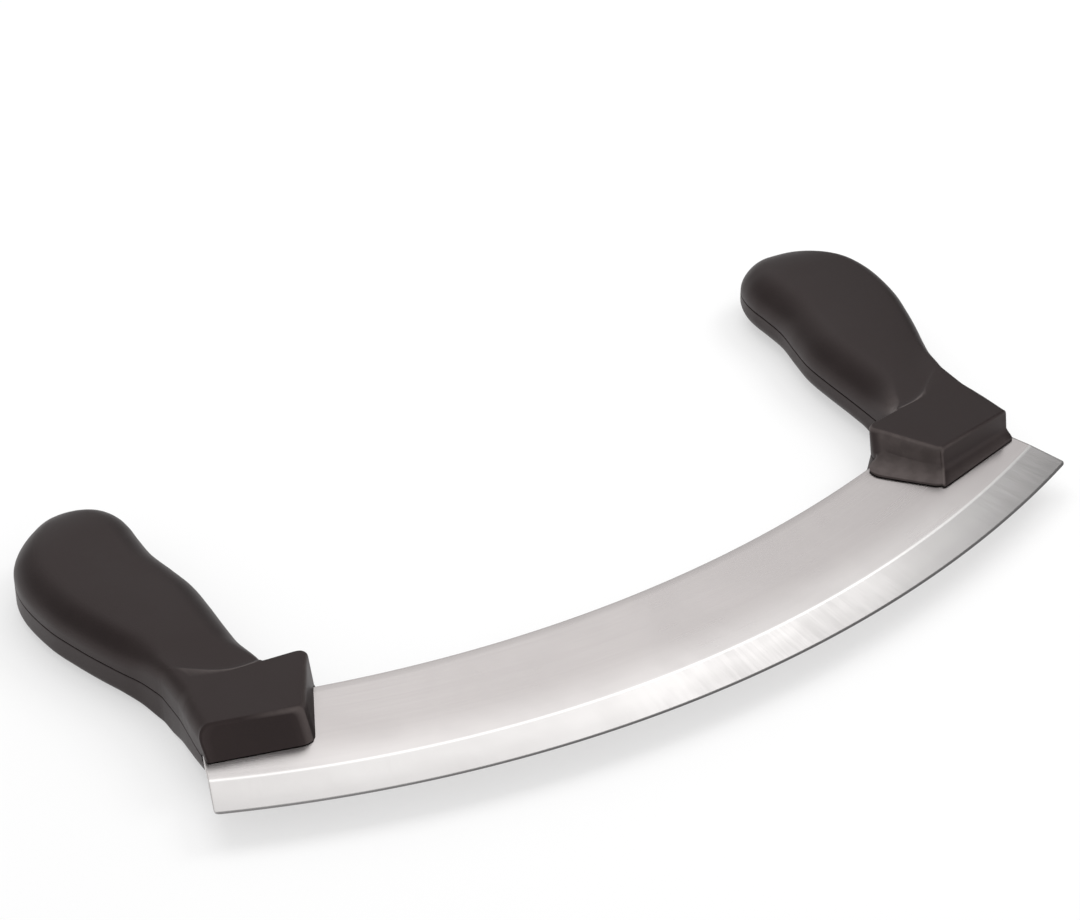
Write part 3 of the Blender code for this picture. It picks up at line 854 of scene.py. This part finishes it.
def half_mesh(name, side, face):
    """Skin of a half: rings from front to butt, a round cap there, and rows over the front face."""
    stations = handle_stations()
    sections = [half_section(item, side, face) for item in stations]
    rings = [ring for ring, _, _ in sections]
    painted_light = [value for _, values, _ in sections for value in values]
    count = len(rings[0])
    last = [Vector(point) for point in rings[-1]]
    centre = sum(last, Vector()) / count
    for shrink in BUTT_RINGS:
        bulge = Vector((0.0, BUTT_BULGE * (1 - shrink ** 2), 0.0))
        rings.append([centre + (point - centre) * shrink + bulge for point in last])
        painted_light += [0.0] * count
    points = [tuple(point) for ring in rings for point in ring]
    faces = []
    for r in range(len(rings) - 1):
        for i in range(count):
            j = (i + 1) % count
            a, b = r * count, (r + 1) * count
            faces.append((a + i, a + j, b + j, b + i))
    faces.append(tuple(range(len(points) - count, len(points))))
    lipped = side * face > 0
    ledge_light = HIGHLIGHT_LIPPED["lip"] * FRONT_LEDGE_LIGHT if lipped else 0.0
    grid = []
    for k, row in enumerate(front_cap(stations[0], side, face, sections[0][2]), start=1):
        inside = range(len(points), len(points) + len(row))
        grid.append([k, *inside, count - 1 - k])
        points += row
        level = abs(row[0][2] - BLADE_LEVEL)
        painted_light += [ledge_light * lip_share(level)] * len(row)
    grid.append(list(range(len(grid) + 1, count - len(grid) - 1)))
    faces.append((0, count - 1, *reversed(grid[0])))
    for low, high in pairwise(grid):
        for i in range(ACROSS):
            faces.append((low[i], low[i + 1], high[i + 1], high[i]))
    mesh = bpy.data.meshes.new(name)
    mesh.from_pydata(points, [], faces)
    # Mask of painted highlights along edges and the crease, and of painted light on the inner wall and
    # lip
    edge = mesh.attributes.new("painted_highlight_mask", "FLOAT", "POINT")
    edge.data.foreach_set("value", np.array(painted_light, np.float32))
    bm = bmesh.new()
    bm.from_mesh(mesh)
    bmesh.ops.recalc_face_normals(bm, faces=bm.faces)
    bm.to_mesh(mesh)
    bm.free()
    return mesh


def slot_outline(hand):
    """The blade's outline near one handle, a gap wider, down to below its edge."""
    side = -1 if hand == "left" else 1
    columns = [(a, b) for a, b in blade_columns() if side * a.x > BLADE_CHORD / 4]
    if side < 0:
        columns.reverse()
    feet = [Vector((a.x, a.y - FIT_GAP)) for a, _ in columns]
    tops = [Vector((b.x, b.y + FIT_GAP)) for _, b in columns]
    reach = Vector((side * FIT_GAP, 0.0))
    return feet + [feet[-1] + reach, tops[-1] + reach] + list(reversed(tops))


def edge_highlight_group():
    """Painted highlight along edges, a little paler, in broken patches."""
    group, start, end = new_group(
        "painted_edge_highlight",
        [("Place", "Vector", None), ("Edge", "Float", 0.0), ("Amount", "Float", 0.5)],
        [("Painted Highlight", "Float")],
    )
    noise = add_node(
        group, "ShaderNodeTexNoise", vector=start.outputs["Place"], scale=220.0, detail=3.0
    )
    broken = spread(group, noise.outputs[0], 0.35, 0.65, 0.75, 1.0)
    highlighted = math(group, "MULTIPLY", math(group, "MULTIPLY", start.outputs["Edge"], broken),
                start.outputs["Amount"])
    group.links.new(highlighted, end.inputs["Painted Highlight"])
    return group


EDGE_HIGHLIGHT = edge_highlight_group()

PLASTIC_DARK = (0.0085, 0.0056, 0.0055, 1)
PLASTIC_PALE = (0.0115, 0.0078, 0.0076, 1)
GRAIN_COLOUR = (0.022, 0.016, 0.0155, 1)
EDGE_HIGHLIGHT_COLOUR = (0.150, 0.128, 0.122, 1)
PLASTIC_SHEEN = (1.0, 0.82, 0.81, 1)
PLASTIC_ROUGHNESS = 0.43


def handle_plastic():
    """Dull black nylon with the mould's grain, paler where the skin's mask paints highlights on edges
    and light on the inner wall and lip.
    """
    material, tree, shader = new_material("dull_black_nylon")
    place = add_node(tree, "ShaderNodeTexCoord").outputs["Object"]
    painted_light = add_node(tree, "ShaderNodeAttribute", attribute_name="painted_highlight_mask").outputs["Fac"]
    patches = place_group(tree, SMUDGES, Place=place, Patch_Size=0.018)["Patches"]
    highlighted = place_group(tree, EDGE_HIGHLIGHT, Place=place, Edge=painted_light, Amount=0.6)["Painted Highlight"]
    pits = add_node(tree, "ShaderNodeTexVoronoi", vector=place, scale=2600.0).outputs["Distance"]
    noise = add_node(tree, "ShaderNodeTexNoise", vector=place, scale=1900.0, detail=3.0).outputs[0]
    grain = math(tree, "ADD", math(tree, "MULTIPLY", pits, 0.6), math(tree, "MULTIPLY", noise, 0.6))

    colour = blend_colour(tree, patches, PLASTIC_DARK, PLASTIC_PALE)
    colour = tint(tree, colour, spread(tree, grain, 0.35, 0.85), 0.15, GRAIN_COLOUR)
    # Painted highlights and painted light: paler where the mask is on
    colour = blend_colour(tree, highlighted, colour, EDGE_HIGHLIGHT_COLOUR)
    tree.links.new(colour, shader.inputs["Base Color"])
    rough = math(tree, "ADD", math(tree, "MULTIPLY", patches, 0.05), PLASTIC_ROUGHNESS)
    rough = math(tree, "SUBTRACT", rough, math(tree, "MULTIPLY", highlighted, 0.12))
    tree.links.new(rough, shader.inputs["Roughness"])
    shader.inputs["Specular IOR Level"].default_value = 0.45
    shader.inputs["Specular Tint"].default_value = PLASTIC_SHEEN
    bump = add_node(tree, "ShaderNodeBump", strength=0.4, distance=0.00004, height=grain)
    tree.links.new(bump.outputs[0], shader.inputs["Normal"])
    return material


HANDLE_PLASTIC = handle_plastic()

for hand, side in (("left", -1), ("right", 1)):
    for level, face in (("upper", 1), ("lower", -1)):
        name = hand + "_" + level + "_half"
        half = add_object(name, half_mesh(name, side, face))
        carve(half, plate("tang_slot", tang_outline(hand, FIT_GAP), BLADE_HALF + FIT_GAP))
        carve(half, plate("blade_slot", slot_outline(hand), BLADE_HALF + FIT_GAP))
        for end in ("front", "rear"):
            pin = hand + "_" + end + "_pin"
            low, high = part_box(pin)
            radius = (high.x - low.x) / 2 + FIT_GAP
            carve(half, rod("pin_hole", pin_centre(pin), radius, high.z - low.z + 2 * FIT_GAP))
        half.data.shade_smooth()
        half.data.set_sharp_from_angle(angle=SHARP_ANGLE)
        half.data.materials.clear()
        half.data.materials.append(HANDLE_PLASTIC)
        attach(half, "root")
        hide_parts(hand + "_handle_" + level)

# Dowel pins: four plain steel pins, cut from drawn bar. They lie in blind holes of the two halves and go
# through the tang, so they carry the pull and the twist from the plastic to the blade.

PIN_DARK = (0.50, 0.50, 0.52, 1)
PIN_PALE = (0.62, 0.62, 0.64, 1)
PIN_ROUGHNESS = 0.30


def pin_steel():
    """Drawn steel, with fine lines along the bar."""
    material, tree, shader = new_material("drawn_pin_steel")
    place = add_node(tree, "ShaderNodeTexCoord").outputs["Object"]
    parts = add_node(tree, "ShaderNodeSeparateXYZ", vector=place)
    round_way = math(tree, "ADD", parts.outputs["X"], parts.outputs["Y"])
    drawn = add_node(tree, "ShaderNodeCombineXYZ", x=parts.outputs["Z"], y=round_way).outputs[0]
    lines = place_group(tree, GRINDING_LINES, Place=drawn, Long=60.0, Close=5000.0)["Lines"]
    patches = place_group(tree, SMUDGES, Place=place, Patch_Size=0.004)["Patches"]
    colour = blend_colour(tree, lines, PIN_DARK, PIN_PALE)
    tree.links.new(colour, shader.inputs["Base Color"])
    rough = math(tree, "ADD", math(tree, "MULTIPLY", patches, 0.12), PIN_ROUGHNESS)
    tree.links.new(rough, shader.inputs["Roughness"])
    shader.inputs["Metallic"].default_value = 1.0
    bump = add_node(tree, "ShaderNodeBump", strength=0.2, distance=0.00002, height=lines)
    tree.links.new(bump.outputs[0], shader.inputs["Normal"])
    return material


PIN_STEEL = pin_steel()
for hand in ("left", "right"):
    for end in ("front", "rear"):
        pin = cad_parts[hand + "_" + end + "_pin"]
        pin.data.materials.clear()
        pin.data.materials.append(PIN_STEEL)

# Floor, light and camera: a sweep of white paper in a white studio, with a bright screen over the far
# side for the steel to mirror and darker walls to its left and right. One softbox hangs over the knife,
# a second one on the right casts the shadows, and the camera stands in front, a little to the left.

FLOOR_RADIUS = 4.0
FLOOR_SIDES = 96
PAPER_DARK = (0.925, 0.925, 0.925, 1)
PAPER_PALE = (0.935, 0.935, 0.935, 1)

# How far from the knife the paper burns out to plain white, and how far it has done so close by
FADE_START = 0.25
FADE_END = 0.60
NEAR_WHITE = 0.5


def floor_paper():
    """White paper with a little tooth, burnt out to plain white away from the knife."""
    material, tree, shader = new_material("white_sweep")
    place = add_node(tree, "ShaderNodeNewGeometry").outputs["Position"]
    tooth = add_node(tree, "ShaderNodeTexNoise", vector=place, scale=900.0, detail=2.0).outputs[0]
    colour = blend_colour(tree, tooth, PAPER_DARK, PAPER_PALE)
    tree.links.new(colour, shader.inputs["Base Color"])
    shader.inputs["Roughness"].default_value = 0.9
    shader.inputs["Specular IOR Level"].default_value = 0.0
    distance = add_node(tree, "ShaderNodeVectorMath", operation="LENGTH", input0=place).outputs["Value"]
    far = spread(tree, distance, FADE_START, FADE_END, NEAR_WHITE, 1.0)
    seen = add_node(tree, "ShaderNodeLightPath").outputs
    shown = math(tree, "MAXIMUM", seen["Is Camera Ray"], seen["Is Glossy Ray"])
    shown = math(tree, "MAXIMUM", shown, seen["Is Transmission Ray"])
    white = add_node(tree, "ShaderNodeEmission", color=(1, 1, 1, 1), strength=1.0)
    mix = add_node(tree, "ShaderNodeMixShader", input0=math(tree, "MULTIPLY", far, shown))
    tree.links.new(shader.outputs[0], mix.inputs[1])
    tree.links.new(white.outputs[0], mix.inputs[2])
    tree.links.new(mix.outputs[0], tree.nodes["Material Output"].inputs["Surface"])
    return material


floor_mesh = bpy.data.meshes.new("sweep")
floor_bm = bmesh.new()
bmesh.ops.create_circle(floor_bm, cap_ends=True, segments=FLOOR_SIDES, radius=FLOOR_RADIUS)
floor_bm.to_mesh(floor_mesh)
floor_bm.free()
floor_mesh.materials.append(floor_paper())
floor = add_object("sweep", floor_mesh)

# What the steel mirrors. Each row is a change of level over a range of angles: from and to in degrees,
# then the level before and after it. Azimuth 0 is behind the knife, and 90 is on its right.
SCREEN_FOOT = (40, 45.5, 1.05, 1.5)
SCREEN_TOP = (47, 53, 1.0, 0.72)
CEILING = (58, 75, 1.0, 0.55)
LEFT_WALL = (-30, 37, 1.0, 0.0)
LEFT_WALL_FOOT = (5, 20, 0.0, 0.65)
RIGHT_WALL = (45.2, 49.3, 1.0, 0.48)
RIGHT_WALL_SLANTED = (40, 50, 1.0, 0.42)
RIGHT_WALL_END = (80, 120, 1.0, 0.0)
SCREEN_SIDE_HALF = (1, 3.8, 1.0, 0.0)
SCREEN_SIDE_FOOT = (39.5, 43, 0.0, 0.6)

# Elevation from which the right wall's edge slants, azimuth of the screen's bright side edge, and the
# level that dull surfaces get from all around
SLANT_FOOT = 40
SCREEN_SIDE_AZIMUTH = 43.4
FILL_LEVEL = 0.75


def by_angle(tree, angle, change):
    """Level at an angle, by one of the rows above."""
    start, end, before, after = change
    return spread(tree, angle, radians(start), radians(end), before, after)


def studio_world():
    """White to the camera, a soft fill to dull surfaces, and the screen and the walls to mirrors."""
    world = bpy.data.worlds.new("studio")
    world.use_nodes = True
    tree = world.node_tree
    tree.nodes.clear()
    seen = add_node(tree, "ShaderNodeLightPath").outputs
    way = add_node(tree, "ShaderNodeTexCoord").outputs["Generated"]
    parts = add_node(tree, "ShaderNodeSeparateXYZ", vector=way)
    azimuth = math(tree, "ARCTAN2", parts.outputs["X"], parts.outputs["Y"])
    elevation = math(tree, "ARCSINE", parts.outputs["Z"])
    foot = by_angle(tree, elevation, SCREEN_FOOT)
    top = by_angle(tree, elevation, SCREEN_TOP)
    ceiling = by_angle(tree, elevation, CEILING)
    slanted = math(tree, "SUBTRACT", azimuth, math(tree, "SUBTRACT", elevation, radians(SLANT_FOOT)))
    past_slant = by_angle(tree, slanted, RIGHT_WALL_SLANTED)
    past_screen = by_angle(tree, azimuth, RIGHT_WALL)
    dim = math(tree, "SUBTRACT", 1.0, math(tree, "MULTIPLY", past_slant, past_screen))
    wall_end = by_angle(tree, azimuth, RIGHT_WALL_END)
    right = math(tree, "SUBTRACT", 1.0, math(tree, "MULTIPLY", dim, wall_end))
    from_side = math(tree, "SUBTRACT", azimuth, radians(SCREEN_SIDE_AZIMUTH))
    from_side = math(tree, "ABSOLUTE", from_side)
    side_foot = by_angle(tree, elevation, SCREEN_SIDE_FOOT)
    screen_side = by_angle(tree, from_side, SCREEN_SIDE_HALF)
    screen_side = math(tree, "ADD", math(tree, "MULTIPLY", screen_side, side_foot), 1.0)
    left_foot = by_angle(tree, elevation, LEFT_WALL_FOOT)
    left = math(tree, "MULTIPLY", by_angle(tree, azimuth, LEFT_WALL), left_foot)
    sides = math(tree, "MULTIPLY", math(tree, "SUBTRACT", 1.0, left), right)
    high = math(tree, "MULTIPLY", math(tree, "MULTIPLY", foot, top), ceiling)
    mirrored = math(tree, "MULTIPLY", math(tree, "MULTIPLY", high, screen_side), sides)

    to_camera = math(tree, "MULTIPLY", seen["Is Camera Ray"], 1 - FILL_LEVEL)
    level = math(tree, "ADD", FILL_LEVEL, to_camera)
    over_fill = math(tree, "SUBTRACT", mirrored, FILL_LEVEL)
    gloss = math(tree, "MULTIPLY", seen["Is Glossy Ray"], over_fill)
    clear = math(tree, "MULTIPLY", seen["Is Transmission Ray"], 1 - FILL_LEVEL)
    level = math(tree, "ADD", math(tree, "ADD", level, gloss), clear)
    background = add_node(tree, "ShaderNodeBackground", color=(1, 1, 1, 1), strength=level)
    output = add_node(tree, "ShaderNodeOutputWorld")
    tree.links.new(background.outputs[0], output.inputs["Surface"])
    bpy.context.scene.world = world


studio_world()


def softbox(name, azimuth, elevation, distance, width, height, power):
    """A rectangular lamp that faces the knife; azimuth 0 is behind it, and 90 is on its right."""
    lamp = bpy.data.lights.new(name, "AREA")
    lamp.shape = "RECTANGLE"
    lamp.size = width
    lamp.size_y = height
    lamp.energy = power
    box = add_object(name, lamp)
    turn, rise = radians(azimuth), radians(elevation)
    way = Vector((sin(turn) * cos(rise), cos(turn) * cos(rise), sin(rise)))
    box.location = way * distance
    box.rotation_euler = way.to_track_quat("Z", "Y").to_euler()
    box.visible_glossy = False


softbox("top_softbox", azimuth=12, elevation=68, distance=1.3, width=1.1, height=0.8, power=5.0)
softbox("side_softbox", azimuth=85, elevation=46, distance=1.3, width=0.5, height=0.5, power=3.5)

CAMERA_PLACE = Vector((-0.4786, -0.7355, 0.7113))
CAMERA_TARGET = Vector((0.0126, 0.0389, 0.0111))
CAMERA_ROLL = radians(0.21)

# In millimetres
CAMERA_LENS = 111.8
SENSOR_WIDTH = 36.0

lens = bpy.data.cameras.new("camera")
lens.lens = CAMERA_LENS
lens.sensor_width = SENSOR_WIDTH
camera = add_object("camera", lens)
look = (CAMERA_TARGET - CAMERA_PLACE).to_track_quat("-Z", "Y").to_matrix()
turned = look @ Matrix.Rotation(CAMERA_ROLL, 3, "Z")
camera.matrix_world = Matrix.Translation(CAMERA_PLACE) @ turned.to_4x4()
bpy.context.scene.camera = camera
bpy.context.scene.view_settings.view_transform = "Standard"
